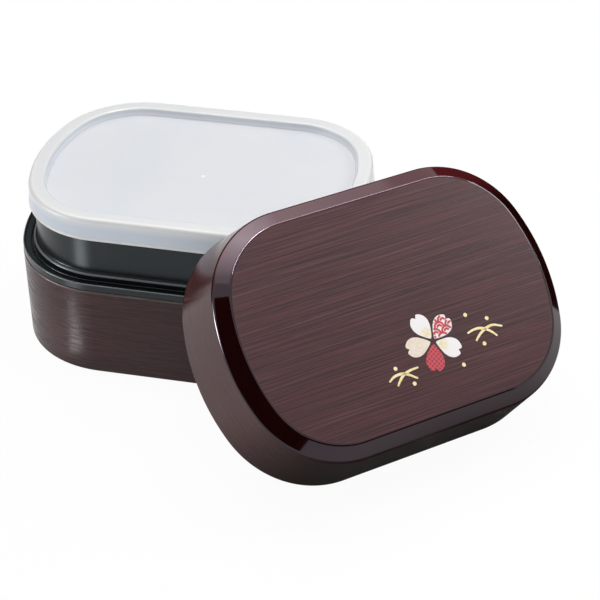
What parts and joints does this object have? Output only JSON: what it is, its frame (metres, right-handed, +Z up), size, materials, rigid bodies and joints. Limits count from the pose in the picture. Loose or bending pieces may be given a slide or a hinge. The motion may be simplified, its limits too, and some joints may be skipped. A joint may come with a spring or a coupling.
{
  "type": "two-tier bento box",
  "caption": "Oblong lunch box of stacked tiers with a flexible inner lid and a deep decorated outer lid that is shown taken off and leaning on the box.",
  "frame": {"origin": "centre of the lower tier's flat underside, on the surface that the box stands on", "axes": "+X along the box's length towards the end where the outer lid leans, +Y across the box to its back, +Z up"},
  "size_m": [0.2604, 0.2054, 0.1042],
  "materials": {
    "brown_satin": "satin dark brown lacquer with fine brushed streaks",
    "black_satin": "satin black moulded plastic, slightly green grey",
    "white_frosted": "milky white flexible plastic, softly glossy on its rounded rim",
    "brown_gloss": "dark red brown lacquer, brushed wood-like grain on the top face and gloss on the bevel",
    "print_white": "opaque off-white print",
    "print_red": "opaque red print",
    "print_gold": "pale gold print"
  },
  "bodies": {
    "lower_tier": {"lower_tier": "brown_satin"},
    "upper_tier": {"upper_tier": "black_satin"},
    "inner_lid": {"inner_lid": "white_frosted"},
    "outer_lid": {"outer_lid": "brown_gloss"}
  },
  "joints": [
    {"name": "upper_tier_lift", "type": "slide", "parent": "lower_tier", "child": "upper_tier", "axis": [0, 0, 1], "range_m": [0, 0.06]},
    {"name": "inner_lid_lift", "type": "slide", "parent": "upper_tier", "child": "inner_lid", "axis": [0, 0, 1], "range_m": [0, 0.045]},
    {"name": "outer_lid_lift", "type": "slide", "parent": "inner_lid", "child": "outer_lid", "axis": [0.4946, -0.471, 0.7304], "range_m": [0, 0.12]}
  ]
}
